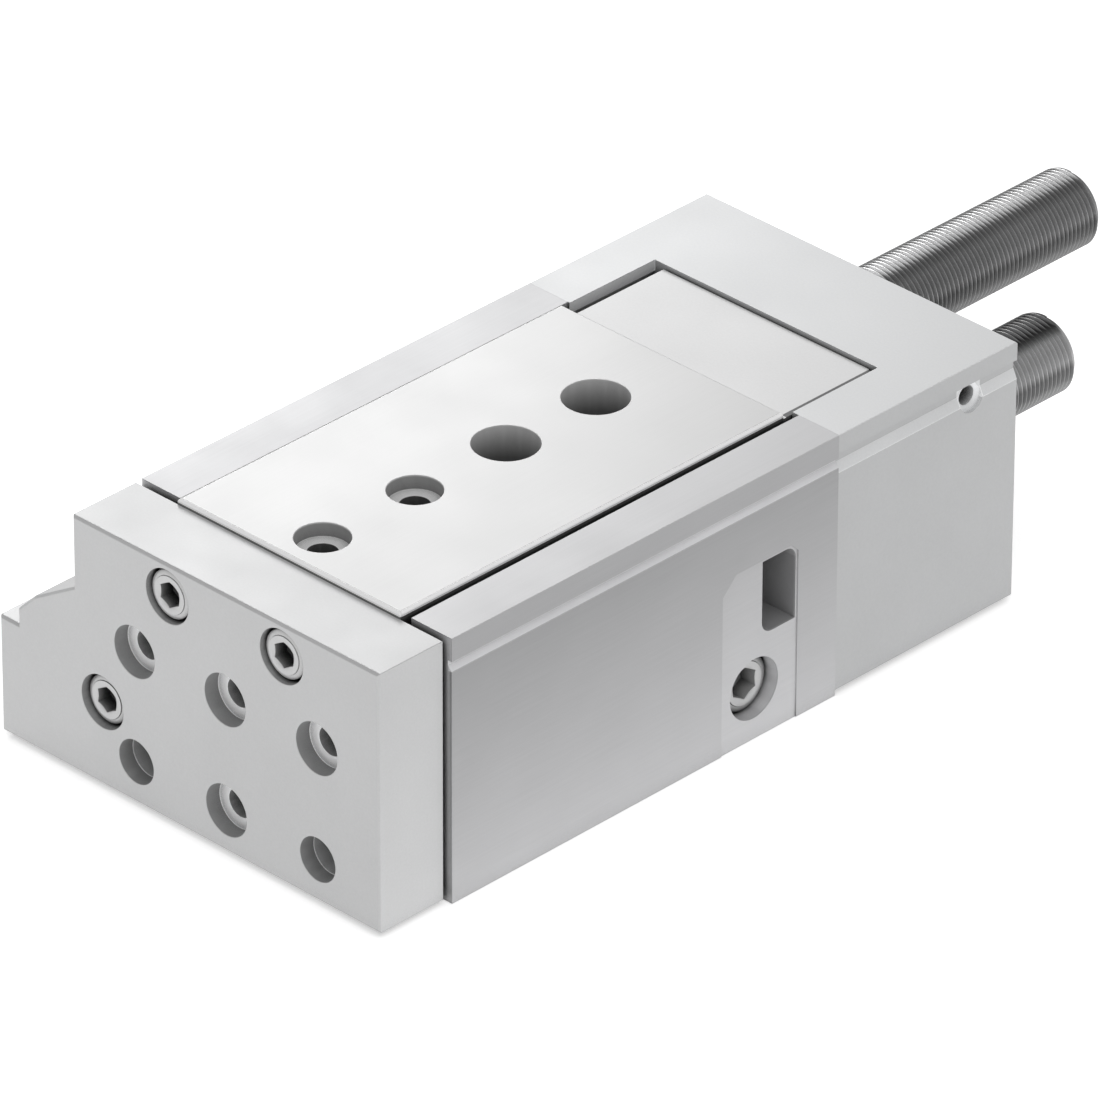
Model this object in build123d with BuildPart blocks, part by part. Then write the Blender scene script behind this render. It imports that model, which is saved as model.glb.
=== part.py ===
from build123d import *
import os
from math import sqrt

os.makedirs("parts", exist_ok=True)

# Millimetres. The stroke runs along Y, the yoke leads towards -Y, Z is up from the mounting face.
# X = 0 is the slide's centre line. Y = 0 lies midway between the two mounting holes through the base.

# Travel
stroke = 50.0
absorber_stroke = 12.0

# Slide table
slide_half_width = 24.3
slide_height = 13.3
slide_rise = 0.6
slide_setback = 1.9
slide_hole_pitch = 20.0
slide_first_hole = 7.5
slide_recess_radius = 4.5
slide_recess_depth = 2.5
access_hole_radius = 5.5

# Yoke plate
yoke_overhang = 9.2
yoke_drop = 0.4
yoke_base_z = 0.8
yoke_thickness = 13.75
yoke_gap = 1.0
yoke_hole_pitch = 20.0
yoke_low_row_z = 8.3
yoke_recess_radius = 4.5
yoke_recess_depth = 3.0
plain_hole_radius = 3.85
yoke_screw_half_pitch = 12.5
yoke_screw_drop = 5.8
corner_break = 0.4

# Side wing over the cylinder, shared by the yoke and the body
wing_width = 17.3
shelf_z = 22.0
shelf_width = 4.2
shelf_step = 2.9
knee_run = 3.8
knee_rise = 3.8
wing_root_z = 34.2
wing_inset = 0.3

# Body
left_wall = 8.9
right_wall = 10.1
body_height = 47.7
front_section_length = 85.5
rear_block_length = 41.0
rear_block_lift = 1.0
slide_floor_gap = 0.3
lip_gap_left = 0.4
lip_gap_right = 1.45
side_groove_drop = 5.1
side_groove_depth = 0.8
front_groove_height = 1.8
rear_groove_height = 3.4

# Ball guides
guide_gap = 1.0
ball_radius = 2.0
ball_clearance = 0.02
ball_count = 6
ball_pitch = 5.0
ball_drop = 7.7
cage_height = 6.0
cage_thickness = 0.5
cage_end = 3.0
cage_rest_y = -13.5
rail_width = 4.5
rail_height = 10.0
rail_inset = 0.5
stop_pin_radius = 0.75
stop_pin_inset = 1.0

# Cylinder
piston_inset = 5.8
piston_z = 16.0
bore_radius = 8.0
rod_radius = 4.0
seat_radius = 9.0
gland_length = 13.0
cap_length = 5.0
piston_length = 14.0
piston_end_gap = 0.5
thin_wall = 0.8

# Shock absorbers
absorber_inset = 9.6
absorber_drop = 9.0
absorber_radius = 7.0
absorber_chamfer = 0.8
absorber_pass_gap = 0.45
absorber_length = 109.5
advance_reach = 67.0
retract_reach = 29.0
plunger_radius = 2.0
plunger_head_radius = 4.0
plunger_head = 3.0
plunger_guide = 10.0
plunger_end_gap = 1.0
plunger_chamfer = 0.4

# Absorber carrier behind the slide
carrier_left_inset = 2.3
carrier_right_inset = 0.3
carrier_length = 20.9
carrier_step = 1.3
carrier_rear_gap = 0.4
carrier_side_gap = 0.35
lug_drop = 9.0
lug_left_wall = 8.6
lug_right_wall = 12.2
carrier_rounding = 1.5

# Stop lug under the slide
stop_lug_width = 13.0
stop_lug_length = 10.0
stop_lug_drop = 6.5
stop_lug_key = 1.5
stop_lug_rounding = 1.5
stop_channel_gap = 0.6
stop_channel_tail = 1.5

# Clamp on the retract absorber, with its spot face and window
pad_setback = 8.9
pad_length = 17.0
pad_rise = 6.1
pad_depth = 0.2
pad_corner = 3.0
window_setback = 9.3
window_length = 7.5
window_drop = 7.6
window_rise = 5.7
window_corner = 2.2
clamp_screw_setback = 18.4
clamp_screw_z = 9.3
clamp_head_sink = 2.0
slit_width = 1.0
slit_overlap = 3.5

# Mounting holes in the base
base_seat_z = 7.0
base_tap_half_x = 18.0
base_tap_half_y = 25.0
base_tap_depth = 9.0

# Sensor slot and air ports
sensor_slot_radius = 2.2
sensor_slot_cover = 1.9
port_inset = 9.0
port_z = 17.0
port_depth = 8.0
passage_radius = 1.25
passage_setback = 0.5
passage_overlap = 4.3

# Joint between the body's two sections
right_screw_inset = 4.9
left_screw_inset = 2.7
wing_screw_inset = 6.0
low_screw_z = 8.0
wing_screw_z = 6.5
rail_screw_drop = 8.0
seam_thread_depth = 8.5
dowel_inset = 7.4
middle_dowel_z = 10.0
side_dowel_z = 17.0
dowel_radius = 2.0
dowel_length = 16.0

# Small blind hole in the side groove
side_hole_setback = 10.5
side_hole_drop = 0.9
side_hole_radius = 1.7
side_hole_depth = 5.0
side_hole_sink_radius = 2.6
side_hole_sink_angle = 130.0

# Metric fasteners: thread radius, head radius, head height, key width across flats
m4_screw = (2.0, 3.5, 4.0, 3.0)
m5_screw = (2.5, 4.25, 5.0, 4.0)
m6_screw = (3.0, 5.0, 6.0, 5.0)
m6_tap_radius = 2.5
m5_tap_radius = 2.1
head_clearance = 0.45
small_head_clearance = 0.2
yoke_head_depth = 0.5
rod_head_depth = 0.9
head_chamfer = 0.4
thread_chamfer = 0.5
screw_end_gap = 1.0
shank_clearance = 0.3
thread_clearance = 0.05

# Fits
moving_gap = 0.3
running_gap = 0.04
lip_gap = 0.02
piston_gap = 0.08
magnet_gap = 0.12
seat_gap = 0.03
rail_fit_gap = 0.003

# Places that follow from the sizes above
yoke_half_width = slide_half_width + yoke_overhang
body_left = slide_half_width + left_wall
body_right = slide_half_width + right_wall
wing_reach = body_left + wing_width
piston_x = piston_inset - body_left
port_x = port_inset - wing_reach
absorber_x = slide_half_width - absorber_inset
carrier_left = slide_half_width - carrier_left_inset
carrier_right = slide_half_width - carrier_right_inset
lug_left = absorber_x + lug_left_wall
lug_right = absorber_x - lug_right_wall
slide_front_y = -slide_first_hole - 2.5 * slide_hole_pitch
body_front_y = slide_front_y + yoke_gap
yoke_front_y = slide_front_y - yoke_thickness
yoke_top_z = body_height - yoke_drop
slide_top_z = body_height + slide_rise
slide_bottom_z = slide_top_z - slide_height
yoke_screw_z = yoke_top_z - yoke_screw_drop
side_groove_z = body_height - side_groove_drop
ball_z = body_height - ball_drop
absorber_z = slide_bottom_z - absorber_drop
carrier_top_z = slide_top_z - carrier_step
lug_bottom_z = absorber_z - lug_drop
stop_lug_bottom_z = absorber_z - stop_lug_drop
seam_y = body_front_y + front_section_length
slide_rear_y = seam_y - slide_setback
rear_face_y = seam_y + rear_block_length
pad_rear_y = seam_y - pad_setback
pad_front_y = pad_rear_y - pad_length
pad_top_z = absorber_z + pad_rise
window_rear_y = seam_y - window_setback
window_front_y = window_rear_y - window_length
window_bottom_z = absorber_z - window_drop
window_top_z = absorber_z + window_rise
clamp_screw_y = seam_y - clamp_screw_setback
side_hole_y = rear_face_y - side_hole_setback
carrier_rear_y = slide_rear_y + carrier_length
pocket_rear_y = carrier_rear_y + carrier_rear_gap
floor_z = slide_bottom_z - slide_floor_gap
rail_face = slide_half_width + guide_gap
rail_back = rail_face + rail_width
rail_bottom_z = ball_z - rail_height / 2
rail_top_z = ball_z + rail_height / 2
ball_x = slide_half_width + guide_gap / 2
groove_reach = (ball_radius + ball_clearance) * sqrt(2)
yoke_top_row_z = yoke_low_row_z + yoke_hole_pitch
cylinder_wall_radius = bore_radius + thin_wall
cap_front_y = seam_y - cap_length
gland_rear_y = body_front_y + gland_length
piston_rear_y = cap_front_y - piston_end_gap
piston_front_y = piston_rear_y - piston_length
advance_nose_y = rear_face_y + advance_reach - absorber_length
retract_nose_y = rear_face_y + retract_reach - absorber_length
stop_face_y = advance_nose_y - stroke - plunger_head - moving_gap
lug_face_y = retract_nose_y - plunger_head - moving_gap
rail_front_y = body_front_y + rail_inset
rail_rear_y = seam_y - rail_inset
stop_pin_ys = (rail_front_y + stop_pin_inset, rail_rear_y - stop_pin_inset)


def front_view(y):
    """Plane across the stroke, seen from the front: X to the right, Z up, normal to the front."""
    return Plane.XZ.offset(-y)


def rear_view(y):
    """Plane across the stroke, seen from the rear: -X to the right, Z up, normal to the rear."""
    return Plane(origin=(0, y, 0), x_dir=(-1, 0, 0), z_dir=(0, 1, 0))


def bottom_view(z):
    """Level plane seen from below: X to the right, -Y up, normal downwards."""
    return Plane(origin=(0, 0, z), x_dir=(1, 0, 0), z_dir=(0, 0, -1))


def save(builder, name):
    """Label a finished piece and write it as its own STEP file."""
    builder.part.label = name
    export_step(builder.part, f"parts/{name}.step")


def wing_outline(inset, base_z):
    """Outline points of the side wing from its root on the left wall down to the base."""
    reach = wing_reach - inset
    shelf_x = reach - shelf_width
    step_z = shelf_z + shelf_step
    return [
        (-body_left, wing_root_z - inset),
        (-shelf_x + knee_run, step_z + knee_rise - inset),
        (-shelf_x, step_z - inset),
        (-shelf_x, shelf_z - inset),
        (-reach, shelf_z - inset),
        (-reach, base_z),
    ]


def side_groove(side_x, height):
    """Shallow groove with a level upper edge and a sloping lower flank along one side wall."""
    deep = side_x - side_groove_depth if side_x > 0 else side_x + side_groove_depth
    top = side_groove_z + height / 2
    return [(side_x, top - height), (deep, top - height / 2), (deep, top), (side_x, top)]


def groove_ends(side):
    """Upper and lower corner of the square ball passage between slide and rail."""
    return [(side * ball_x, ball_z + groove_reach), (side * ball_x, ball_z - groove_reach)]


def body_outline(base_z, groove_height):
    """Closed outer outline of the body section with its wing and both side grooves."""
    right = side_groove(body_right, groove_height)
    left = list(reversed(side_groove(-body_left, groove_height)))
    top = [(body_right, body_height), (-body_left, body_height)]
    return [(body_right, base_z)] + right + top + left + wing_outline(wing_inset, base_z)


def socket_screw(size, length):
    """Socket head cap screw: the seat under its head is at the origin, the head points along +Z."""
    thread, head, height, key = size
    with BuildPart() as screw:
        Cylinder(head, height, align=(Align.CENTER, Align.CENTER, Align.MIN))
        chamfer(screw.edges().group_by(Axis.Z)[-1], length=head_chamfer)
        Cylinder(thread - thread_clearance, length, align=(Align.CENTER, Align.CENTER, Align.MAX))
        chamfer(screw.edges().group_by(Axis.Z)[0], length=thread_chamfer)
        with BuildSketch(Plane.XY.offset(height / 2)):
            RegularPolygon(key / 2, 6, major_radius=False)
        extrude(amount=height / 2, mode=Mode.SUBTRACT)
    return screw.part


def ring(outer, inner, length):
    """Plain ring along +Z from the origin."""
    with BuildPart() as body:
        Cylinder(outer, length, align=(Align.CENTER, Align.CENTER, Align.MIN))
        Hole(inner)
    return body.part


# Yoke plate: the flat front tool plate, with a wing that covers the cylinder side of the body
yoke_tapped = [(-yoke_hole_pitch, yoke_top_row_z), (0, yoke_top_row_z), (yoke_hole_pitch, yoke_top_row_z)]
yoke_tapped.append((0, yoke_low_row_z))
yoke_plain = [(-yoke_hole_pitch, yoke_low_row_z), (yoke_hole_pitch, yoke_low_row_z)]
yoke_screw_spots = [(-yoke_screw_half_pitch, yoke_screw_z), (yoke_screw_half_pitch, yoke_screw_z)]
yoke_screw_length = 20.0
yoke_screw_sink = m5_screw[2] + yoke_head_depth
rod_screw_sink = m5_screw[2] + rod_head_depth
m5_bore = m5_screw[1] + head_clearance
m5_sink = m5_screw[2] + small_head_clearance

with BuildPart() as yoke_plate:
    with BuildSketch(front_view(slide_front_y)):
        with BuildLine():
            wing = wing_outline(0, yoke_base_z)
            wing[0] = (-yoke_half_width, wing_root_z)
            corners = [(yoke_half_width, yoke_base_z), (yoke_half_width, yoke_top_z)]
            Polyline(*corners, (-yoke_half_width, yoke_top_z), *wing, close=True)
        make_face()
    extrude(amount=yoke_thickness)
    chamfer(yoke_plate.faces().sort_by(Axis.Y)[0].edges(), length=corner_break)
    with Locations(front_view(yoke_front_y)):
        with Locations(*yoke_tapped):
            CounterBoreHole(m6_tap_radius, yoke_recess_radius, yoke_recess_depth)
        with Locations(*yoke_plain):
            Hole(plain_hole_radius)
        with Locations(*yoke_screw_spots):
            CounterBoreHole(m5_screw[0] + shank_clearance, m5_bore, yoke_screw_sink)
        with Locations((piston_x, piston_z)):
            CounterBoreHole(m5_screw[0] + shank_clearance, m5_bore, rod_screw_sink)
save(yoke_plate, "yoke_plate")

# Two screws hold the yoke to the slide, a third holds it to the piston rod
yoke_screw = socket_screw(m5_screw, yoke_screw_length)
with BuildPart() as yoke_screws:
    with Locations(front_view(yoke_front_y + yoke_screw_sink)):
        with Locations(*yoke_screw_spots):
            add(yoke_screw)
save(yoke_screws, "yoke_screws")

with BuildPart() as rod_screw:
    with Locations(front_view(yoke_front_y + rod_screw_sink)):
        with Locations((piston_x, piston_z)):
            add(yoke_screw)
save(rod_screw, "rod_screw")

# Slide table: ground steel bar with a V groove for the balls along each side
slide_hole_ys = [slide_front_y + slide_first_hole + i * slide_hole_pitch for i in range(4)]
carrier_screw_half_pitch = 12.0
carrier_screw_drop = 7.3
carrier_screw_z = slide_top_z - carrier_screw_drop
carrier_screw_spots = [(side * carrier_screw_half_pitch, carrier_screw_z) for side in (-1, 1)]
thread_depth = yoke_screw_sink + yoke_screw_length + screw_end_gap - yoke_thickness
stop_lug_y = lug_face_y - stop_lug_length / 2
stop_screw_depth = 8.0

with BuildPart() as slide_table:
    with BuildSketch(front_view(slide_rear_y)):
        slide_middle_z = (slide_bottom_z + slide_top_z) / 2
        with Locations((0, slide_middle_z)):
            Rectangle(2 * slide_half_width, slide_top_z - slide_bottom_z)
        for side in (-1, 1):
            with BuildLine():
                apex = (side * (ball_x - groove_reach), ball_z)
                Polyline(*groove_ends(side), apex, close=True)
            make_face(mode=Mode.SUBTRACT)
    extrude(amount=slide_rear_y - slide_front_y)
    top_edges = slide_table.faces().sort_by(Axis.Z)[-1].edges()
    chamfer(top_edges, length=corner_break)
    with Locations(Plane.XY.offset(slide_top_z)):
        with Locations(*[(0, y) for y in slide_hole_ys[:2]]):
            CounterBoreHole(m6_tap_radius, slide_recess_radius, slide_recess_depth)
        with Locations(*[(0, y) for y in slide_hole_ys[2:]]):
            Hole(access_hole_radius)
    with BuildSketch(front_view(slide_front_y + thread_depth)):
        with Locations(*yoke_screw_spots):
            Circle(m5_screw[0])
    extrude(amount=thread_depth, mode=Mode.SUBTRACT)
    with BuildSketch(front_view(slide_rear_y)):
        with Locations(*carrier_screw_spots):
            Circle(m5_screw[0])
    extrude(amount=thread_depth, mode=Mode.SUBTRACT)
    with BuildSketch(Plane.XY.offset(slide_bottom_z)):
        with Locations((absorber_x, stop_lug_y)):
            Rectangle(stop_lug_width + 2 * seat_gap, stop_lug_length + 2 * seat_gap)
    extrude(amount=stop_lug_key, mode=Mode.SUBTRACT)
    with BuildSketch(Plane.XY.offset(slide_bottom_z)):
        with Locations((absorber_x, stop_lug_y)):
            Circle(m4_screw[0])
    extrude(amount=stop_lug_key + stop_screw_depth, mode=Mode.SUBTRACT)
save(slide_table, "slide_table")

# Stop lug: keyed and screwed under the slide, it lands on the retract absorber's plunger
m4_bore = m4_screw[1] + small_head_clearance
m4_sink = m4_screw[2] + small_head_clearance
stop_lug_top_z = slide_bottom_z + stop_lug_key - seat_gap

with BuildPart() as stop_lug:
    with BuildSketch(Plane.XY.offset(stop_lug_bottom_z)):
        with Locations((absorber_x, stop_lug_y)):
            Rectangle(stop_lug_width, stop_lug_length)
    extrude(amount=stop_lug_top_z - stop_lug_bottom_z)
    fillet(stop_lug.edges().filter_by(Axis.Y).group_by(Axis.Z)[0], radius=stop_lug_rounding)
    with Locations(bottom_view(stop_lug_bottom_z)):
        with Locations((absorber_x, -stop_lug_y)):
            CounterBoreHole(m4_screw[0] + seat_gap, m4_bore, m4_sink)
save(stop_lug, "stop_lug")

stop_screw_top_z = slide_bottom_z + stop_lug_key + stop_screw_depth - screw_end_gap
stop_screw_length = stop_screw_top_z - stop_lug_bottom_z - m4_sink
stop_screw = socket_screw(m4_screw, stop_screw_length)
with BuildPart() as stop_lug_screw:
    with Locations(bottom_view(stop_lug_bottom_z + m4_sink)):
        with Locations((absorber_x, -stop_lug_y)):
            add(stop_screw)
save(stop_lug_screw, "stop_lug_screw")

# Absorber carrier: aluminium tail behind the slide, whose lug grips the advance absorber
with BuildPart() as absorber_carrier:
    with BuildSketch(front_view(carrier_rear_y)):
        with BuildLine():
            Polyline(
                (-carrier_left, carrier_top_z),
                (carrier_right, carrier_top_z),
                (carrier_right, slide_bottom_z),
                (-lug_right, slide_bottom_z),
                (-lug_right, lug_bottom_z),
                (-lug_left, lug_bottom_z),
                (-lug_left, slide_bottom_z),
                (-carrier_left, slide_bottom_z),
                close=True,
            )
        make_face()
        with Locations((piston_x, piston_z)):
            Circle(cylinder_wall_radius + moving_gap, mode=Mode.SUBTRACT)
        with Locations((-absorber_x, absorber_z)):
            Circle(absorber_radius + thread_clearance, mode=Mode.SUBTRACT)
    extrude(amount=carrier_length)
    rear_edges = absorber_carrier.edges().filter_by(Axis.Z).group_by(Axis.Y)[-1]
    fillet(rear_edges.sort_by(Axis.X)[-1], radius=carrier_rounding)
    with Locations(rear_view(carrier_rear_y)):
        with Locations(*[(-x, z) for x, z in carrier_screw_spots]):
            CounterBoreHole(m5_screw[0] + shank_clearance, m5_bore, m5_sink)
    set_screw_y = carrier_rear_y - carrier_length / 2
    with BuildSketch(Plane.YZ.offset(-absorber_x)):
        with Locations((set_screw_y, absorber_z)):
            Circle(m4_screw[0])
    extrude(amount=absorber_x - lug_right, mode=Mode.SUBTRACT)
save(absorber_carrier, "absorber_carrier")

carrier_screw_length = 25.0
carrier_screw = socket_screw(m5_screw, carrier_screw_length)
with BuildPart() as carrier_screws:
    with Locations(rear_view(carrier_rear_y - m5_sink)):
        with Locations(*[(-x, z) for x, z in carrier_screw_spots]):
            add(carrier_screw)
save(carrier_screws, "carrier_screws")

set_screw_length = absorber_x - lug_right - absorber_radius - 2 * thread_clearance
with BuildPart() as absorber_set_screw:
    with BuildSketch(Plane.YZ.offset(-lug_right - set_screw_length)):
        with Locations((set_screw_y, absorber_z)):
            Circle(m4_screw[0] - thread_clearance)
    extrude(amount=set_screw_length)
    with BuildSketch(Plane.YZ.offset(-lug_right - set_screw_length / 2)):
        with Locations((set_screw_y, absorber_z)):
            RegularPolygon(m4_screw[0] / 2, 6, major_radius=False)
    extrude(amount=set_screw_length / 2, mode=Mode.SUBTRACT)
save(absorber_set_screw, "absorber_set_screw")


# Shock absorbers: threaded steel tubes, blind at the rear, with a plunger in the nose
plunger_depth = absorber_stroke + plunger_guide + plunger_end_gap


def absorber(x, nose_y):
    """Absorber body as a plain cylinder over its thread crests, nose to the front."""
    with BuildPart() as body:
        with BuildSketch(front_view(nose_y + absorber_length)):
            with Locations((x, absorber_z)):
                Circle(absorber_radius)
        extrude(amount=absorber_length)
        chamfer(body.edges(), length=absorber_chamfer)
        with BuildSketch(front_view(nose_y + plunger_depth)):
            with Locations((x, absorber_z)):
                Circle(plunger_radius + running_gap)
        extrude(amount=plunger_depth, mode=Mode.SUBTRACT)
        with BuildSketch(front_view(nose_y + absorber_length)):
            with Locations((x, absorber_z)):
                RegularPolygon(m6_screw[3] / 2, 6, major_radius=False)
        extrude(amount=m6_screw[2] / 2, mode=Mode.SUBTRACT)
    return body


def plunger(x, head_y):
    """Plunger with its buffer head, whose front face is at head_y."""
    with BuildPart() as body:
        with BuildSketch(front_view(head_y + plunger_head)):
            with Locations((x, absorber_z)):
                Circle(plunger_head_radius)
        extrude(amount=plunger_head)
        chamfer(body.edges(), length=plunger_chamfer)
        rod_length = absorber_stroke + plunger_guide
        with BuildSketch(front_view(head_y + plunger_head + rod_length)):
            with Locations((x, absorber_z)):
                Circle(plunger_radius)
        extrude(amount=rod_length)
    return body


save(absorber(-absorber_x, advance_nose_y), "advance_absorber")
save(absorber(absorber_x, retract_nose_y), "retract_absorber")
save(plunger(-absorber_x, advance_nose_y - absorber_stroke - plunger_head), "advance_plunger")
save(plunger(absorber_x, retract_nose_y - plunger_head), "retract_plunger")

# Front section of the body: profile with the slide channel and the two rail pockets
stop_button_radius = 6.5
stop_button_length = 4.5
stop_button_sink = 2.5
lug_channel_front_y = stop_face_y - stop_button_length + stop_button_sink
stop_channel_rear_y = retract_nose_y + stop_channel_tail
right_screw_x = body_right - right_screw_inset
above_cylinder_z = (piston_z + seat_radius + rail_bottom_z) / 2
seam_screw_spots = [
    (right_screw_x, low_screw_z),
    (right_screw_x, rail_bottom_z - rail_screw_drop),
    (wing_screw_inset - wing_reach, wing_screw_z),
    (left_screw_inset - body_left, above_cylinder_z),
]
dowel_spots = [(0.0, middle_dowel_z), (body_right - dowel_inset, side_dowel_z)]
clamp_seat_x = body_right - pad_depth - clamp_head_sink - m6_screw[2]
clamp_thread_end = 5.5
plug_radius = 2.0
plug_length = 4.0
ring_groove_width = 1.0
ring_groove_depth = 0.6


def cut_circle(spots, radius, rear_y, length):
    """Round cut along the stroke in the current piece, from rear_y forwards."""
    with BuildSketch(front_view(rear_y)) as cut:
        with Locations(*spots):
            Circle(radius)
    extrude(cut.sketch, amount=length, mode=Mode.SUBTRACT)


def cut_lug_channel(front_y, rear_y):
    """Channel for the carrier's lug, kept clear of the cylinder wall."""
    with BuildSketch(front_view(rear_y)) as cut:
        with BuildLine():
            left = -lug_left - moving_gap
            right = -lug_right + moving_gap
            bottom = lug_bottom_z - moving_gap
            Polyline((left, bottom), (right, bottom), (right, floor_z), (left, floor_z), close=True)
        make_face()
        with Locations((piston_x, piston_z)):
            Circle(cylinder_wall_radius, mode=Mode.SUBTRACT)
    extrude(cut.sketch, amount=rear_y - front_y, mode=Mode.SUBTRACT)


def cut_sensor_slot(rear_y, length):
    """Round slot for a position sensor under the upper face of the wing."""
    knee = wing_outline(wing_inset, 0)[1]
    root = wing_outline(wing_inset, 0)[0]
    run = root[0] - knee[0]
    rise = root[1] - knee[1]
    slope = sqrt(run * run + rise * rise)
    middle = ((knee[0] + root[0]) / 2, (knee[1] + root[1]) / 2)
    centre = (middle[0] + rise / slope * sensor_slot_cover, middle[1] - run / slope * sensor_slot_cover)
    cut_circle([centre], sensor_slot_radius, rear_y, length)


with BuildPart() as housing:
    with BuildSketch(front_view(seam_y)):
        with BuildLine():
            Polyline(*body_outline(0, front_groove_height), close=True)
        make_face()
        with BuildLine():
            left_lip = -slide_half_width - lip_gap_left
            right_lip = slide_half_width + lip_gap_right
            Polyline(
                (left_lip, body_height),
                (left_lip, rail_top_z),
                (-rail_back, rail_top_z),
                (-rail_back, rail_bottom_z),
                (-rail_face, rail_bottom_z),
                (-rail_face, floor_z),
                (rail_face, floor_z),
                (rail_face, rail_bottom_z),
                (rail_back, rail_bottom_z),
                (rail_back, rail_top_z),
                (right_lip, rail_top_z),
                (right_lip, body_height),
                close=True,
            )
        make_face(mode=Mode.SUBTRACT)
    extrude(amount=front_section_length)
    # Cylinder bore, gland seat with its ring groove, and end cap seat
    cut_circle([(piston_x, piston_z)], bore_radius, seam_y, front_section_length)
    cut_circle([(piston_x, piston_z)], seat_radius, gland_rear_y, gland_length)
    ring_groove_y = body_front_y + 2 * ring_groove_width
    cut_circle([(piston_x, piston_z)], seat_radius + ring_groove_depth, ring_groove_y, ring_groove_width)
    cut_circle([(piston_x, piston_z)], seat_radius, seam_y, cap_length)
    # Channel of the carrier's lug, ending in the seat of the stop button
    cut_lug_channel(lug_channel_front_y, seam_y)
    button_bore = stop_button_radius + seat_gap
    cut_circle([(-absorber_x, absorber_z)], button_bore, lug_channel_front_y, stop_button_sink)
    # Channel of the stop lug, open at the front, and the retract absorber's bore behind it
    with BuildSketch(front_view(stop_channel_rear_y)):
        channel_bottom = stop_lug_bottom_z - stop_channel_gap
        with Locations((absorber_x, (channel_bottom + floor_z) / 2)):
            Rectangle(stop_lug_width + 2 * stop_channel_gap, floor_z - channel_bottom)
    extrude(amount=stop_channel_rear_y - body_front_y, mode=Mode.SUBTRACT)
    absorber_bore = absorber_radius + thread_clearance
    cut_circle([(absorber_x, absorber_z)], absorber_bore, seam_y, seam_y - stop_channel_rear_y)
    # Spot face, window and slit of the clamp
    with BuildSketch(Plane.YZ.offset(body_right - pad_depth)) as pad:
        with BuildLine():
            Polyline(
                (pad_front_y, 0),
                (pad_rear_y, 0),
                (pad_rear_y, pad_top_z - pad_corner / 2),
                (pad_rear_y - pad_corner / 2, pad_top_z),
                (pad_front_y + pad_corner, pad_top_z),
                (pad_front_y, pad_top_z - pad_corner),
                close=True,
            )
        make_face()
    extrude(amount=pad_depth, mode=Mode.SUBTRACT)
    with BuildSketch(Plane.YZ.offset(absorber_x)) as window:
        window_y = (window_front_y + window_rear_y) / 2
        window_z = (window_bottom_z + window_top_z) / 2
        with Locations((window_y, window_z)):
            Rectangle(window_rear_y - window_front_y, window_top_z - window_bottom_z)
        upper_rear = window.vertices().sort_by(Axis.Y)[-2:].sort_by(Axis.X)[-1]
        lower_front = window.vertices().sort_by(Axis.Y)[:2].sort_by(Axis.X)[0]
        fillet([upper_rear, lower_front], radius=window_corner)
    extrude(amount=body_right - absorber_x, mode=Mode.SUBTRACT)
    with BuildSketch(Plane.XY):
        with Locations((absorber_x, (pad_front_y + pad_rear_y) / 2)):
            Rectangle(slit_width, pad_rear_y - pad_front_y)
    extrude(amount=absorber_z - absorber_radius + slit_overlap, mode=Mode.SUBTRACT)
    # Clamp screw hole: threaded past the slit, clear before it, sunk head
    with BuildSketch(Plane.YZ.offset(clamp_thread_end)):
        with Locations((clamp_screw_y, clamp_screw_z)):
            Circle(m6_screw[0])
    extrude(amount=absorber_x - clamp_thread_end, mode=Mode.SUBTRACT)
    with BuildSketch(Plane.YZ.offset(absorber_x)):
        with Locations((clamp_screw_y, clamp_screw_z)):
            Circle(m6_screw[0] + shank_clearance)
    extrude(amount=body_right - absorber_x, mode=Mode.SUBTRACT)
    with BuildSketch(Plane.YZ.offset(clamp_seat_x)):
        with Locations((clamp_screw_y, clamp_screw_z)):
            Circle(m6_screw[1] + head_clearance)
    extrude(amount=body_right - clamp_seat_x, mode=Mode.SUBTRACT)
    # Mounting holes: two counterbored through the base, four tapped from below
    with Locations(Plane.XY.offset(floor_z)):
        with Locations(*[(0, y) for y in slide_hole_ys[2:]]):
            CounterBoreHole(m6_screw[0] + shank_clearance, access_hole_radius, floor_z - base_seat_z)
    with BuildSketch(Plane.XY):
        with GridLocations(2 * base_tap_half_x, 2 * base_tap_half_y, 2, 2):
            Circle(m6_tap_radius)
    extrude(amount=base_tap_depth, mode=Mode.SUBTRACT)
    # Joint with the rear block: threads, dowel holes, and the air passage to the front chamber
    cut_circle(seam_screw_spots, m5_screw[0], seam_y, seam_thread_depth)
    cut_circle(dowel_spots, dowel_radius + seat_gap, seam_y, dowel_length / 2)
    passage_front_y = gland_rear_y + passage_setback + passage_radius
    cut_circle([(port_x, port_z)], passage_radius, seam_y, seam_y - passage_front_y)
    with BuildSketch(Plane.YZ.offset(wing_inset - wing_reach)):
        with Locations((passage_front_y, port_z)):
            Circle(passage_radius)
    extrude(amount=wing_reach - wing_inset + piston_x - bore_radius + passage_overlap, mode=Mode.SUBTRACT)
    with BuildSketch(Plane.YZ.offset(wing_inset - wing_reach)):
        with Locations((passage_front_y, port_z)):
            Circle(plug_radius + seat_gap)
    extrude(amount=plug_length, mode=Mode.SUBTRACT)
    cut_sensor_slot(seam_y, front_section_length)
    # Holes for the pins that stop the ball cages
    for side in (-1, 1):
        for pin_y in stop_pin_ys:
            with BuildSketch(Plane.YZ.offset(side * rail_back)):
                with Locations((pin_y, ball_z)):
                    Circle(stop_pin_radius)
            extrude(amount=side * guide_gap, mode=Mode.SUBTRACT)
save(housing, "housing")

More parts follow.
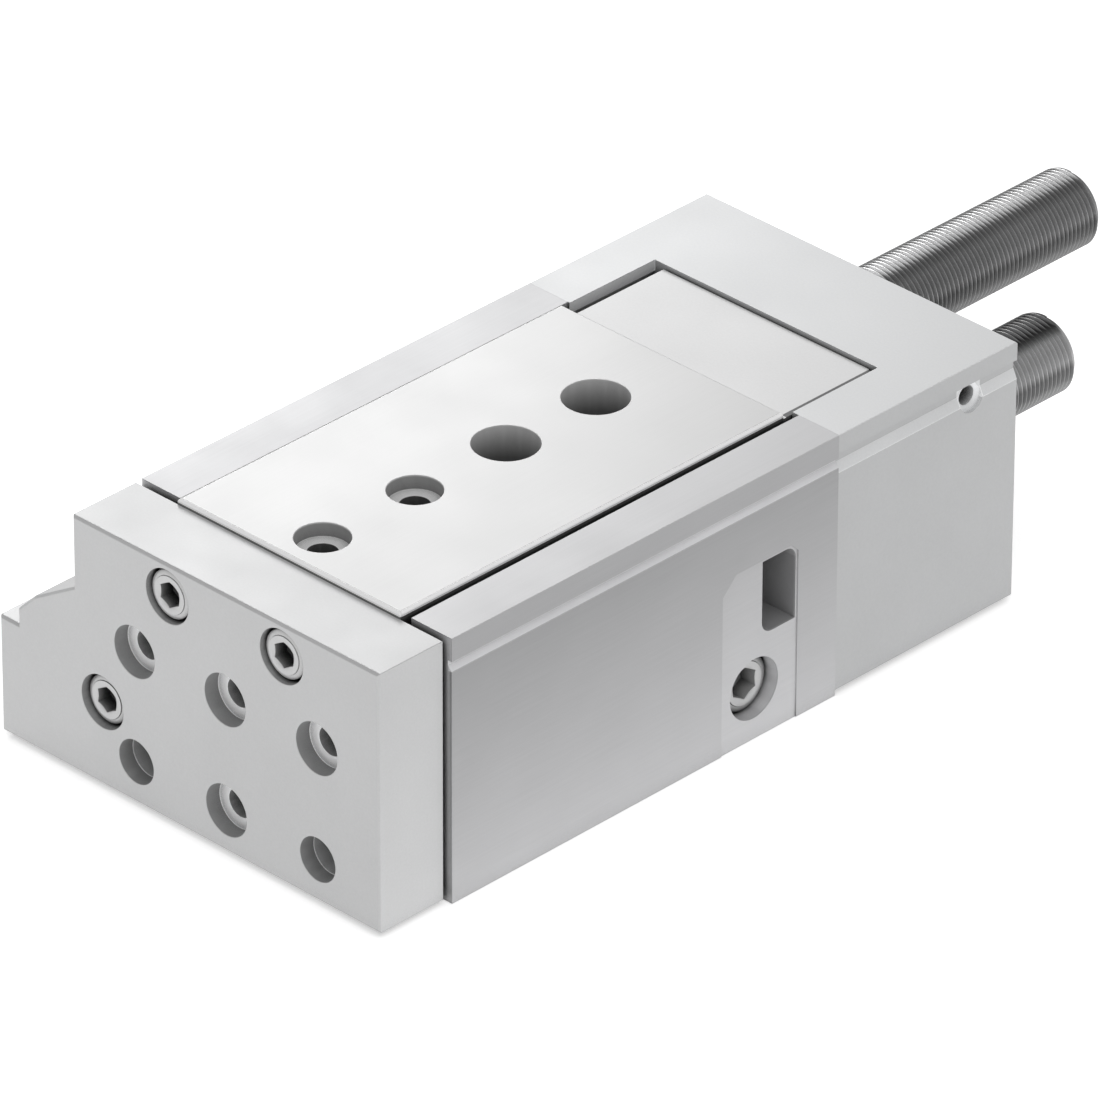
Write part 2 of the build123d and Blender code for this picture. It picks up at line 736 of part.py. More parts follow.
# Rear block: closes the cylinder, holds the retract absorber and lets the advance absorber pass
passage_seal_section = 0.5
passage_seal_radius = 2.4
seal_depth = 2 * passage_seal_section
port_spots = [(piston_x, piston_z), (port_x, port_z)]

with BuildPart() as rear_block:
    with BuildSketch(front_view(rear_face_y)):
        with BuildLine():
            Polyline(*body_outline(rear_block_lift, rear_groove_height), close=True)
        make_face()
    extrude(amount=rear_block_length)
    with BuildSketch(front_view(pocket_rear_y)):
        pocket_left = -slide_half_width
        pocket_right = carrier_right + carrier_side_gap
        with BuildLine():
            Polyline(
                (pocket_left, floor_z),
                (pocket_right, floor_z),
                (pocket_right, body_height),
                (pocket_left, body_height),
                close=True,
            )
        make_face()
    extrude(amount=pocket_rear_y - seam_y, mode=Mode.SUBTRACT)
    cut_lug_channel(seam_y, pocket_rear_y)
    pass_bore = absorber_radius + absorber_pass_gap
    cut_circle([(-absorber_x, absorber_z)], pass_bore, rear_face_y, rear_block_length)
    cut_circle([(absorber_x, absorber_z)], absorber_bore, rear_face_y, rear_block_length)
    cut_circle(seam_screw_spots, m5_screw[0] + shank_clearance, rear_face_y, rear_block_length)
    cut_circle(seam_screw_spots, m5_bore, rear_face_y, m5_sink)
    cut_circle(dowel_spots, dowel_radius + seat_gap, seam_y + dowel_length / 2, dowel_length / 2)
    cut_circle(port_spots, passage_radius, rear_face_y, rear_block_length)
    cut_circle(port_spots, m5_tap_radius, rear_face_y, port_depth)
    seal_cut = passage_seal_radius + passage_seal_section + seat_gap
    cut_circle(port_spots, seal_cut, seam_y + seal_depth, seal_depth)
    with Locations(Plane.YZ.offset(body_right - side_groove_depth)):
        with Locations((side_hole_y, side_groove_z - side_hole_drop)):
            CounterSinkHole(side_hole_radius, side_hole_sink_radius, side_hole_depth, side_hole_sink_angle)
    rear_edges = rear_block.edges().filter_by(Axis.X).group_by(Axis.Y)[-1]
    chamfer(rear_edges.sort_by(Axis.Z)[-1], length=corner_break)
save(rear_block, "rear_block")

seam_screw_length = rear_block_length - m5_sink + seam_thread_depth - screw_end_gap
seam_screw = socket_screw(m5_screw, seam_screw_length)
with BuildPart() as rear_block_screws:
    with Locations(rear_view(rear_face_y - m5_sink)):
        with Locations(*[(-x, z) for x, z in seam_screw_spots]):
            add(seam_screw)
save(rear_block_screws, "rear_block_screws")

with BuildPart() as locating_pins:
    with BuildSketch(front_view(seam_y + dowel_length / 2 - seat_gap)):
        with Locations(*dowel_spots):
            Circle(dowel_radius)
    extrude(amount=dowel_length - 2 * seat_gap)
save(locating_pins, "locating_pins")

seal_half = passage_seal_section - seat_gap
passage_seal = ring(passage_seal_radius + seal_half, passage_seal_radius - seal_half, 2 * seal_half)
with BuildPart() as passage_seals:
    with Locations(front_view(seam_y + passage_seal_section + seal_half)):
        with Locations(*port_spots):
            add(passage_seal)
save(passage_seals, "passage_seals")

with BuildPart() as passage_plug:
    with BuildSketch(Plane.YZ.offset(wing_inset - wing_reach + moving_gap)):
        with Locations((passage_front_y, port_z)):
            Circle(plug_radius)
    extrude(amount=plug_length - moving_gap)
save(passage_plug, "passage_plug")

with BuildPart() as stop_button:
    with BuildSketch(front_view(stop_face_y)):
        with Locations((-absorber_x, absorber_z)):
            Circle(stop_button_radius)
    extrude(amount=stop_button_length)
    chamfer(stop_button.edges().group_by(Axis.Y)[-1], length=corner_break)
save(stop_button, "stop_button")

clamp_screw_length = clamp_seat_x - clamp_thread_end - screw_end_gap
clamp_cap_screw = socket_screw(m6_screw, clamp_screw_length)
with BuildPart() as clamp_screw:
    with Locations(Plane.YZ.offset(clamp_seat_x)):
        with Locations((clamp_screw_y, clamp_screw_z)):
            add(clamp_cap_screw)
save(clamp_screw, "clamp_screw")


def guide_rail(side):
    """Hardened strip seated in the body's side pocket, with a V groove and two holes for stop pins."""
    with BuildPart() as rail:
        with BuildSketch(front_view(rail_rear_y)):
            with Locations((side * (rail_face + rail_back) / 2, ball_z)):
                Rectangle(rail_width - rail_fit_gap, rail_height - rail_fit_gap)
            with BuildLine():
                apex = (side * (ball_x + groove_reach), ball_z)
                Polyline(*groove_ends(side), apex, close=True)
            make_face(mode=Mode.SUBTRACT)
        extrude(amount=rail_rear_y - rail_front_y)
        for pin_y in stop_pin_ys:
            with BuildSketch(Plane.YZ.offset(side * rail_face)):
                with Locations((pin_y, ball_z)):
                    Circle(stop_pin_radius)
            extrude(amount=side * rail_width, mode=Mode.SUBTRACT)
    return rail


def ball_cage(side):
    """Thin strip between rail and slide with one hole for each ball."""
    length = (ball_count - 1) * ball_pitch + 2 * cage_end
    with BuildPart() as cage:
        with BuildSketch(Plane.YZ.offset(side * ball_x - cage_thickness / 2)):
            with Locations((cage_rest_y, ball_z)):
                Rectangle(length, cage_height)
            with Locations((cage_rest_y, ball_z)):
                with GridLocations(ball_pitch, 1, ball_count, 1):
                    Circle(ball_radius + running_gap, mode=Mode.SUBTRACT)
        extrude(amount=cage_thickness)
    return cage


def ball_row(side):
    """Row of balls held by one cage."""
    with BuildPart() as balls:
        with Locations(Plane.YZ.offset(side * ball_x)):
            with Locations((cage_rest_y, ball_z)):
                with GridLocations(ball_pitch, 1, ball_count, 1):
                    Sphere(ball_radius)
    return balls


for side, name in ((-1, "left"), (1, "right")):
    save(guide_rail(side), f"{name}_guide_rail")
    save(ball_cage(side), f"{name}_ball_cage")
    save(ball_row(side), f"{name}_balls")

pin_reach = rail_back + guide_gap - ball_x - cage_thickness
with BuildPart() as cage_stop_pins:
    for side in (-1, 1):
        for pin_y in stop_pin_ys:
            with BuildSketch(Plane.YZ.offset(side * (rail_back + guide_gap))):
                with Locations((pin_y, ball_z)):
                    Circle(stop_pin_radius - seat_gap)
            extrude(amount=-side * pin_reach)
save(cage_stop_pins, "cage_stop_pins")

# Cylinder: gland with seal, wiper, ring and retaining ring at the front, cap at the rear
cord_section = 0.9
seal_length = 2.5
wiper_length = 2.0
seal_radius = 6.0
gland_front_y = ring_groove_y
ring_width = 2.0
ring_opening = 4.0


def on_piston_axis(y):
    """Plane across the cylinder axis, seen from the front."""
    return Plane(origin=(piston_x, y, piston_z), x_dir=(1, 0, 0), z_dir=(0, -1, 0))


with BuildPart() as rod_gland:
    with BuildSketch(on_piston_axis(gland_rear_y)):
        Circle(seat_radius - seat_gap)
        Circle(rod_radius + running_gap, mode=Mode.SUBTRACT)
    extrude(amount=gland_rear_y - gland_front_y)
    with BuildSketch(on_piston_axis(gland_rear_y)):
        Circle(seal_radius)
    extrude(amount=seal_length, mode=Mode.SUBTRACT)
    with BuildSketch(on_piston_axis(gland_front_y + wiper_length)):
        Circle(seal_radius)
    extrude(amount=wiper_length, mode=Mode.SUBTRACT)
    with BuildSketch(on_piston_axis((gland_front_y + gland_rear_y) / 2 + cord_section)):
        Circle(seat_radius)
        Circle(seat_radius - 2 * cord_section, mode=Mode.SUBTRACT)
    extrude(amount=2 * cord_section, mode=Mode.SUBTRACT)
save(rod_gland, "rod_gland")

seal_ring = ring(seal_radius - seat_gap, rod_radius + lip_gap, seal_length)
wiper_ring = ring(seal_radius - seat_gap, rod_radius + lip_gap, wiper_length)
cord_half = cord_section - seat_gap
seat_cord = ring(seat_radius - seat_gap, seat_radius - cord_section - cord_half, 2 * cord_half)

with BuildPart() as rod_seal:
    with Locations(on_piston_axis(gland_rear_y)):
        add(seal_ring)
save(rod_seal, "rod_seal")

with BuildPart() as rod_wiper:
    with Locations(on_piston_axis(gland_front_y + wiper_length)):
        add(wiper_ring)
save(rod_wiper, "rod_wiper")

with BuildPart() as gland_ring_seal:
    with Locations(on_piston_axis((gland_front_y + gland_rear_y) / 2 + cord_half)):
        add(seat_cord)
save(gland_ring_seal, "gland_ring_seal")

with BuildPart() as retaining_ring:
    with BuildSketch(on_piston_axis(gland_front_y)):
        Circle(seat_radius + ring_groove_depth - seat_gap)
        Circle(seat_radius - ring_width, mode=Mode.SUBTRACT)
        with Locations((0, seat_radius)):
            Rectangle(ring_opening, 2 * ring_width + 2 * ring_groove_depth, mode=Mode.SUBTRACT)
    extrude(amount=ring_groove_width)
save(retaining_ring, "retaining_ring")

with BuildPart() as cylinder_cap:
    with BuildSketch(on_piston_axis(seam_y)):
        Circle(seat_radius - seat_gap)
        Circle(passage_radius, mode=Mode.SUBTRACT)
    extrude(amount=cap_length)
    with BuildSketch(on_piston_axis(seam_y - cap_length / 2 + cord_section)):
        Circle(seat_radius)
        Circle(seat_radius - 2 * cord_section, mode=Mode.SUBTRACT)
    extrude(amount=2 * cord_section, mode=Mode.SUBTRACT)
save(cylinder_cap, "cylinder_cap")

with BuildPart() as cap_ring_seal:
    with Locations(on_piston_axis(seam_y - cap_length / 2 + cord_half)):
        add(seat_cord)
save(cap_ring_seal, "cap_ring_seal")

# Piston rod with a spigot at the rear that carries the piston
spigot_radius = 2.5
rod_thread_depth = rod_screw_sink + yoke_screw_length + screw_end_gap - yoke_thickness
spigot_thread_radius = 1.7
spigot_thread_depth = piston_length - m4_screw[2] - screw_end_gap

with BuildPart() as piston_rod:
    with BuildSketch(on_piston_axis(piston_front_y)):
        Circle(rod_radius)
    extrude(amount=piston_front_y - slide_front_y)
    with BuildSketch(on_piston_axis(piston_rear_y - m4_screw[2])):
        Circle(spigot_radius)
    extrude(amount=piston_length - m4_screw[2])
    with BuildSketch(on_piston_axis(slide_front_y + rod_thread_depth)):
        Circle(m5_screw[0])
    extrude(amount=rod_thread_depth, mode=Mode.SUBTRACT)
    with BuildSketch(on_piston_axis(piston_rear_y - m4_screw[2])):
        Circle(spigot_thread_radius)
    extrude(amount=spigot_thread_depth, mode=Mode.SUBTRACT)
save(piston_rod, "piston_rod")

lip_width = 2.0
lip_depth = 2.0
magnet_width = 3.0
lip_centres = [piston_front_y + 1.5 * lip_width, piston_rear_y - 1.5 * lip_width]
piston_middle_y = (piston_front_y + piston_rear_y) / 2

with BuildPart() as piston:
    with BuildSketch(on_piston_axis(piston_rear_y)):
        Circle(bore_radius - piston_gap)
        Circle(spigot_radius + seat_gap, mode=Mode.SUBTRACT)
    extrude(amount=piston_length)
    with BuildSketch(on_piston_axis(piston_rear_y)):
        Circle(m4_screw[1] + seat_gap)
    extrude(amount=m4_screw[2], mode=Mode.SUBTRACT)
    for centre in lip_centres:
        with BuildSketch(on_piston_axis(centre + lip_width / 2)):
            Circle(bore_radius)
            Circle(bore_radius - lip_depth, mode=Mode.SUBTRACT)
        extrude(amount=lip_width, mode=Mode.SUBTRACT)
    with BuildSketch(on_piston_axis(piston_middle_y + magnet_width / 2)):
        Circle(bore_radius)
        Circle(bore_radius - lip_depth, mode=Mode.SUBTRACT)
    extrude(amount=magnet_width, mode=Mode.SUBTRACT)
save(piston, "piston")

lip_ring = ring(bore_radius - lip_gap, bore_radius - lip_depth + seat_gap, lip_width - seat_gap)
with BuildPart() as piston_seals:
    for centre in lip_centres:
        with Locations(on_piston_axis(centre + (lip_width - seat_gap) / 2)):
            add(lip_ring)
save(piston_seals, "piston_seals")

magnet_ring = ring(bore_radius - magnet_gap, bore_radius - lip_depth + seat_gap, magnet_width - seat_gap)
with BuildPart() as piston_magnet:
    with Locations(on_piston_axis(piston_middle_y + (magnet_width - seat_gap) / 2)):
        add(magnet_ring)
save(piston_magnet, "piston_magnet")

piston_screw_length = spigot_thread_depth - screw_end_gap
with BuildPart() as piston_screw:
    with BuildSketch(on_piston_axis(piston_rear_y)):
        Circle(m4_screw[1])
    extrude(amount=m4_screw[2])
    with BuildSketch(on_piston_axis(piston_rear_y)):
        Circle(spigot_thread_radius - thread_clearance)
    extrude(amount=m4_screw[2] + piston_screw_length)
    with BuildSketch(on_piston_axis(piston_rear_y)):
        RegularPolygon(m4_screw[3] / 2, 6, major_radius=False)
    extrude(amount=m4_screw[2] / 2, mode=Mode.SUBTRACT)
save(piston_screw, "piston_screw")
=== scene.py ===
import math

import bmesh
import bpy
from mathutils import Matrix, Vector


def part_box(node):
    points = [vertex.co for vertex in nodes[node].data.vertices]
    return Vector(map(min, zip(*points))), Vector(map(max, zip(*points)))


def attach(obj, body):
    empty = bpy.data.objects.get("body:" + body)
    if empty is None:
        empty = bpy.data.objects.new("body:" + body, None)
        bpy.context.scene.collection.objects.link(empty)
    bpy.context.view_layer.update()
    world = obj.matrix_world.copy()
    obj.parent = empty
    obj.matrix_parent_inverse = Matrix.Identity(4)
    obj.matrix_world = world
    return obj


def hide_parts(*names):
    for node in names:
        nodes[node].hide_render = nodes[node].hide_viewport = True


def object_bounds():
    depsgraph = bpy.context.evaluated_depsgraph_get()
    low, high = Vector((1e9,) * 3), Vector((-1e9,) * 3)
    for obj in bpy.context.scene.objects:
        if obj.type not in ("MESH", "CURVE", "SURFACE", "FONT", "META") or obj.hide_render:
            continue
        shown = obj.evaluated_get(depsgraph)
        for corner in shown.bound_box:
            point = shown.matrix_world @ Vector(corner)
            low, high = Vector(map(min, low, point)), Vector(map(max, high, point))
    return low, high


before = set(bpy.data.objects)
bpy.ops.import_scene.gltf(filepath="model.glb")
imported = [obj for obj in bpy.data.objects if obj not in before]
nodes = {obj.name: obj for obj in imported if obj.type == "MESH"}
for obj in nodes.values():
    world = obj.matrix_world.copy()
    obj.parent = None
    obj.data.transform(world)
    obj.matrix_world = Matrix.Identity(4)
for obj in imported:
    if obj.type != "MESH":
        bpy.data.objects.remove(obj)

cad_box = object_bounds()
mm = 0.001

# Camera
# It stands high over the yoke's right-hand corner, far off with a long lens, as in the photograph,
# so the edges of the body run almost parallel.
view_azimuth = math.radians(44.395)
view_elevation = math.radians(31.056)
view_roll = math.radians(0.164)
look_at = Vector((30.70, -31.51, 51.13)) * mm
camera_distance = 1868.96 * mm
back = Vector((
    math.sin(view_azimuth) * math.cos(view_elevation),
    -math.cos(view_azimuth) * math.cos(view_elevation),
    math.sin(view_elevation),
))
level_right = Vector((math.cos(view_azimuth), math.sin(view_azimuth), 0.0))
level_up = back.cross(level_right)
right = math.cos(view_roll) * level_right + math.sin(view_roll) * level_up
up = back.cross(right)
camera = bpy.data.objects.new("camera", bpy.data.cameras.new("camera"))
camera.data.sensor_width = 36.0
camera.data.lens = 400.67
camera.data.clip_start = 0.1
camera.data.clip_end = 20.0
camera_turn = Matrix((right, up, back)).transposed().to_4x4()
camera.matrix_world = Matrix.Translation(look_at + back * camera_distance) @ camera_turn
bpy.context.scene.collection.objects.link(camera)
bpy.context.scene.camera = camera

# Studio
# A white light table that glows faintly, a hair under the part so that their faces don't flicker,
# and an even white sky. A large soft lamp hangs on the camera's side, a nearer one on the left.
bpy.context.scene.view_settings.view_transform = "Standard"
sky = bpy.data.worlds.new("sky")
sky.use_nodes = True
sky_light = sky.node_tree.nodes["Background"]
sky_light.inputs["Color"].default_value = (1.0, 1.0, 1.0, 1.0)
sky_light.inputs["Strength"].default_value = 0.41
bpy.context.scene.world = sky


def soft_lamp(name, place, aim, size, power):
    """Square lamp with its middle at place, in metres, turned towards aim; power is in watts."""
    data = bpy.data.lights.new(name, "AREA")
    data.shape = "SQUARE"
    data.size = size
    data.energy = power
    lamp = bpy.data.objects.new(name, data)
    lamp.location = place
    lamp.rotation_mode = "QUATERNION"
    lamp.rotation_quaternion = (Vector(aim) - Vector(place)).to_track_quat("-Z", "Y")
    bpy.context.scene.collection.objects.link(lamp)


body_middle = (0.0, 0.0, 0.02)
soft_lamp("high_lamp", place=(0.8, -0.5, 1.6), aim=body_middle, size=1.6, power=9.0)
soft_lamp("left_lamp", place=(-0.66, 0.50, 0.46), aim=body_middle, size=0.3, power=3.2)

table_reach = 4.0
table_drop = 0.05 * mm
table_top = Vector((0.0, 0.0, cad_box[0].z - table_drop))
table_mesh = bmesh.new()
bmesh.ops.create_grid(table_mesh, x_segments=1, y_segments=1, size=table_reach)
bmesh.ops.translate(table_mesh, verts=table_mesh.verts, vec=table_top)
table_data = bpy.data.meshes.new("table")
table_mesh.to_mesh(table_data)
table_mesh.free()
table = bpy.data.objects.new("table", table_data)
bpy.context.scene.collection.objects.link(table)
table_white = bpy.data.materials.new("table_white")
table_white.use_nodes = True
table_shader = table_white.node_tree.nodes["Principled BSDF"]
table_shader.inputs["Base Color"].default_value = (0.95, 0.95, 0.95, 1.0)
table_shader.inputs["Roughness"].default_value = 0.8
table_shader.inputs["Specular IOR Level"].default_value = 0.1
table_shader.inputs["Emission Color"].default_value = (1.0, 1.0, 1.0, 1.0)
table_shader.inputs["Emission Strength"].default_value = 0.52
table_data.materials.append(table_white)


# Front section of the body
# An aluminium extrusion, milled on the top, the ends and the pad at the clamp, then anodised.
# Its sides keep the fine lengthwise lines of the die.
def metal_finish(name, colour, metallic, roughness, lines, depth, mottle=0.05):
    """Metal with fine tool marks: lines are marks per metre along X, Y and Z, depth is in metres."""
    finish = bpy.data.materials.new(name)
    finish.use_nodes = True
    tree = finish.node_tree
    shader = tree.nodes["Principled BSDF"]
    shader.inputs["Metallic"].default_value = metallic
    place = tree.nodes.new("ShaderNodeTexCoord")
    stretch = tree.nodes.new("ShaderNodeMapping")
    stretch.inputs["Scale"].default_value = lines
    marks = tree.nodes.new("ShaderNodeTexNoise")
    marks.inputs["Scale"].default_value = 1.0
    marks.inputs["Detail"].default_value = 3.0
    relief = tree.nodes.new("ShaderNodeBump")
    relief.inputs["Strength"].default_value = 1.0
    relief.inputs["Distance"].default_value = depth
    tree.links.new(place.outputs["Object"], stretch.inputs["Vector"])
    tree.links.new(stretch.outputs["Vector"], marks.inputs["Vector"])
    tree.links.new(marks.outputs["Fac"], relief.inputs["Height"])
    tree.links.new(relief.outputs["Normal"], shader.inputs["Normal"])
    clouds = tree.nodes.new("ShaderNodeTexNoise")
    clouds.inputs["Scale"].default_value = 60.0
    clouds.inputs["Detail"].default_value = 4.0
    tree.links.new(place.outputs["Object"], clouds.inputs["Vector"])
    sheen = tree.nodes.new("ShaderNodeMapRange")
    sheen.inputs["To Min"].default_value = roughness * 0.85
    sheen.inputs["To Max"].default_value = roughness * 1.15
    tree.links.new(clouds.outputs["Fac"], sheen.inputs["Value"])
    tree.links.new(sheen.outputs["Result"], shader.inputs["Roughness"])
    both = tree.nodes.new("ShaderNodeMix")
    both.data_type = "FLOAT"
    both.inputs["Factor"].default_value = 0.4
    tree.links.new(clouds.outputs["Fac"], both.inputs["A"])
    tree.links.new(marks.outputs["Fac"], both.inputs["B"])
    tint = tree.nodes.new("ShaderNodeValToRGB")
    darker, lighter = tint.color_ramp.elements
    darker.position = 0.3
    darker.color = tuple(c * (1.0 - mottle) for c in colour) + (1.0,)
    lighter.position = 0.7
    lighter.color = tuple(min(1.0, c * (1.0 + mottle)) for c in colour) + (1.0,)
    tree.links.new(both.outputs["Result"], tint.inputs["Fac"])
    tree.links.new(tint.outputs["Color"], shader.inputs["Base Color"])
    return finish


def multiply_colour(finish, grey, amount=None):
    """Multiplies the finish's colour by a socket, everywhere or as far as the amount socket says."""
    tree = finish.node_tree
    shader = tree.nodes["Principled BSDF"]
    product = tree.nodes.new("ShaderNodeMix")
    product.data_type = "RGBA"
    product.blend_type = "MULTIPLY"
    product.inputs["Factor"].default_value = 1.0
    if amount is not None:
        tree.links.new(amount, product.inputs["Factor"])
    tree.links.new(shader.inputs["Base Color"].links[0].from_socket, product.inputs["A"])
    tree.links.new(grey, product.inputs["B"])
    tree.links.new(product.outputs["Result"], shader.inputs["Base Color"])


def height_share(finish, low, high, low_share=0.0, high_share=1.0):
    """Socket that runs from low_share to high_share between two heights, in millimetres."""
    tree = finish.node_tree
    place = tree.nodes.new("ShaderNodeTexCoord")
    parts = tree.nodes.new("ShaderNodeSeparateXYZ")
    share = tree.nodes.new("ShaderNodeMapRange")
    share.inputs["From Min"].default_value = low * mm
    share.inputs["From Max"].default_value = high * mm
    share.inputs["To Min"].default_value = low_share
    share.inputs["To Max"].default_value = high_share
    tree.links.new(place.outputs["Object"], parts.inputs["Vector"])
    tree.links.new(parts.outputs["Z"], share.inputs["Value"])
    return share.outputs["Result"]


def paint_crevice_shade(finish, reach=7.0, dark=0.12, light=0.5, spared=None):
    """Darkens the finish's colour as painted shade in gaps and holes, the more the more closed in a point is,
    but not where spared is 1.
    """
    tree = finish.node_tree
    openness = tree.nodes.new("ShaderNodeAmbientOcclusion")
    openness.samples = 6
    openness.inputs["Distance"].default_value = reach * mm
    shade = tree.nodes.new("ShaderNodeMapRange")
    shade.interpolation_type = "SMOOTHSTEP"
    shade.inputs["From Min"].default_value = dark
    shade.inputs["From Max"].default_value = light
    shade.inputs["To Min"].default_value = 0.02
    tree.links.new(openness.outputs["AO"], shade.inputs["Value"])
    dimmed = None
    if spared is not None:
        rest = tree.nodes.new("ShaderNodeMath")
        rest.operation = "SUBTRACT"
        rest.inputs[0].default_value = 1.0
        tree.links.new(spared, rest.inputs[1])
        dimmed = rest.outputs["Value"]
    multiply_colour(finish, shade.outputs["Result"], dimmed)


def zone(finish, low, high):
    """Socket that is 1 inside the box from low to high, in millimetres, and 0 outside it."""
    tree = finish.node_tree
    place = tree.nodes.new("ShaderNodeTexCoord")
    middle = (Vector(low) + Vector(high)) / 2 * mm
    reach = (Vector(high) - Vector(low)) / 2 * mm
    value = place.outputs["Object"]
    for operation, operand in (("SUBTRACT", middle), ("ABSOLUTE", None), ("SUBTRACT", reach)):
        step = tree.nodes.new("ShaderNodeVectorMath")
        step.operation = operation
        tree.links.new(value, step.inputs[0])
        if operand is not None:
            step.inputs[1].default_value = operand
        value = step.outputs["Vector"]
    sides = tree.nodes.new("ShaderNodeSeparateXYZ")
    tree.links.new(value, sides.inputs["Vector"])
    outside = sides.outputs["X"]
    for side in ("Y", "Z"):
        larger = tree.nodes.new("ShaderNodeMath")
        larger.operation = "MAXIMUM"
        tree.links.new(outside, larger.inputs[0])
        tree.links.new(sides.outputs[side], larger.inputs[1])
        outside = larger.outputs["Value"]
    inside = tree.nodes.new("ShaderNodeMath")
    inside.operation = "LESS_THAN"
    inside.inputs[1].default_value = 0.0
    tree.links.new(outside, inside.inputs[0])
    return inside.outputs["Value"]


def paint_light_and_shade(finish, box, grey, top_grey=None, foot=0.0, top=42.0):
    """Multiplies the colour inside a box by a grey, or by one that runs to top_grey from foot to top, as
    painted light above 1 and painted shade below 1.
    """
    if top_grey is None:
        top_grey = grey
    multiply_colour(finish, height_share(finish, foot, top, grey, top_grey), zone(finish, *box))


def dress(node, finish, edge_break=0.0):
    """Gives a CAD node its finish and, where edge_break is set, small broken edges."""
    piece = nodes[node]
    piece.data.materials.clear()
    piece.data.materials.append(finish)
    if edge_break:
        weld = piece.modifiers.new("weld", "WELD")
        weld.merge_threshold = 2e-6
        flats = piece.modifiers.new("flats", "DECIMATE")
        flats.decimate_type = "DISSOLVE"
        flats.angle_limit = math.radians(0.5)
        broken = piece.modifiers.new("broken_edges", "BEVEL")
        broken.width = edge_break
        broken.segments = 2
        broken.limit_method = "ANGLE"
        broken.angle_limit = math.radians(35.0)
        broken.harden_normals = True
        broken.use_clamp_overlap = True


milled_edge = 0.18 * mm
extruded_body = metal_finish(
    "extruded_body", colour=(0.62, 0.62, 0.63), metallic=0.3, roughness=0.45,
    lines=(2500.0, 60.0, 2500.0), depth=1.2e-6,
)
wall_below_groove = ((33.95, -60.0, -1.0), (36.0, 30.0, 41.75))
pad_face = ((34.1, 2.9, -1.0), (34.3, 20.3, 32.2))
groove_floor = ((33.62, -60.0, 41.65), (34.5, 30.0, 42.62))
wall_above_groove = ((34.3, -60.0, 43.4), (34.5, 30.0, 47.6))
top_right_of_slide = ((24.0, -60.0, 47.6), (35.0, 30.0, 48.0))
top_left_of_slide = ((-36.0, -60.0, 47.6), (-24.0, 30.0, 48.0))
window_wall = ((25.0, 12.0, 18.0), (33.9, 19.9, 32.0))
# Painted light and shade on the front section, set for one view and one light: the side below the groove is
# painted lighter towards the foot and darker towards the top, the pad face is painted lighter, more towards
# the top, and the groove's lower flank gets a painted highlight.
paint_light_and_shade(extruded_body, wall_below_groove, 0.92, 0.55)
paint_light_and_shade(extruded_body, pad_face, 1.08, 1.24)
paint_light_and_shade(extruded_body, groove_floor, 1.45)
# Painted shade on the band above the groove, on the top's strips beside the slide and on the window's wall.
paint_light_and_shade(extruded_body, wall_above_groove, 0.62)
paint_light_and_shade(extruded_body, top_right_of_slide, 0.70)
paint_light_and_shade(extruded_body, top_left_of_slide, 0.70)
paint_light_and_shade(extruded_body, window_wall, 0.62)
# Painted shade in gaps and holes.
paint_crevice_shade(extruded_body)
dress("housing", extruded_body, milled_edge)

# Rear block
# A milled aluminium block with the same outline, blasted and anodised; its top shows lighter than the front
# section's top, whose strips beside the slide carry painted shade.
# Four screws and two pins join it to the front section.
fine_blast = (2600.0, 2600.0, 2600.0)
blasted_body = metal_finish(
    "blasted_body", colour=(0.60, 0.605, 0.61), metallic=0.3, roughness=0.5, lines=fine_blast, depth=2.0e-6,
)
wall_below_rear_groove = ((33.9, 28.0, 0.0), (35.0, 71.0, 40.8))
rear_groove_floor = ((33.62, 28.0, 40.8), (34.5, 71.0, 42.6))
wall_above_rear_groove = ((33.5, 28.0, 42.6), (34.5, 71.0, 47.6))
side_hole_rim = ((31.0, 56.8, 39.0), (34.35, 62.2, 44.4))
pocket_left_wall = ((-24.4, 28.0, 45.7), (-24.2, 50.0, 47.6))
# Painted light and shade on the rear block, set for one view and one light: the side below the groove is
# painted darker, a little more towards the top, the groove's lower flank and the rim round the side hole get
# painted highlights, the band above the groove gets painted shade, and the pocket's left wall is painted
# lighter.
paint_light_and_shade(blasted_body, wall_below_rear_groove, 0.88, 0.82)
paint_light_and_shade(blasted_body, rear_groove_floor, 1.3)
paint_light_and_shade(blasted_body, wall_above_rear_groove, 0.80)
paint_light_and_shade(blasted_body, side_hole_rim, 1.5)
paint_light_and_shade(blasted_body, pocket_left_wall, 1.65)
# Painted shade in gaps and holes, except on the pocket's left wall.
paint_crevice_shade(blasted_body, spared=zone(blasted_body, *pocket_left_wall))
dress("rear_block", blasted_body, milled_edge)
bright_screw = metal_finish(
    "bright_screw", colour=(0.58, 0.58, 0.58), metallic=0.4, roughness=0.36,
    lines=(3000.0, 3000.0, 3000.0), depth=1.0e-6,
)
# Painted shade in the hexagon sockets and the other hollows of the screws.
paint_crevice_shade(bright_screw, reach=4.0, dark=0.3, light=0.75)
same_point = 1e-7


def turn(mesh, outline, corners):
    """Spins an outline of (radius, height) points round the Z axis."""
    points = [mesh.verts.new((radius, 0.0, height)) for radius, height in outline]
    edges = [mesh.edges.new(pair) for pair in zip(points, points[1:])]
    bmesh.ops.spin(
        mesh, geom=points + edges, cent=(0, 0, 0), axis=(0, 0, 1),
        angle=math.tau, steps=corners, use_merge=True,
    )


def grow(mesh, edges):
    """Extrudes a loop of edges in place and returns the new vertices and the new edges."""
    grown = bmesh.ops.extrude_edge_only(mesh, edges=edges)["geom"]
    new_points = [part for part in grown if isinstance(part, bmesh.types.BMVert)]
    new_edges = [part for part in grown if isinstance(part, bmesh.types.BMEdge)]
    return new_points, new_edges


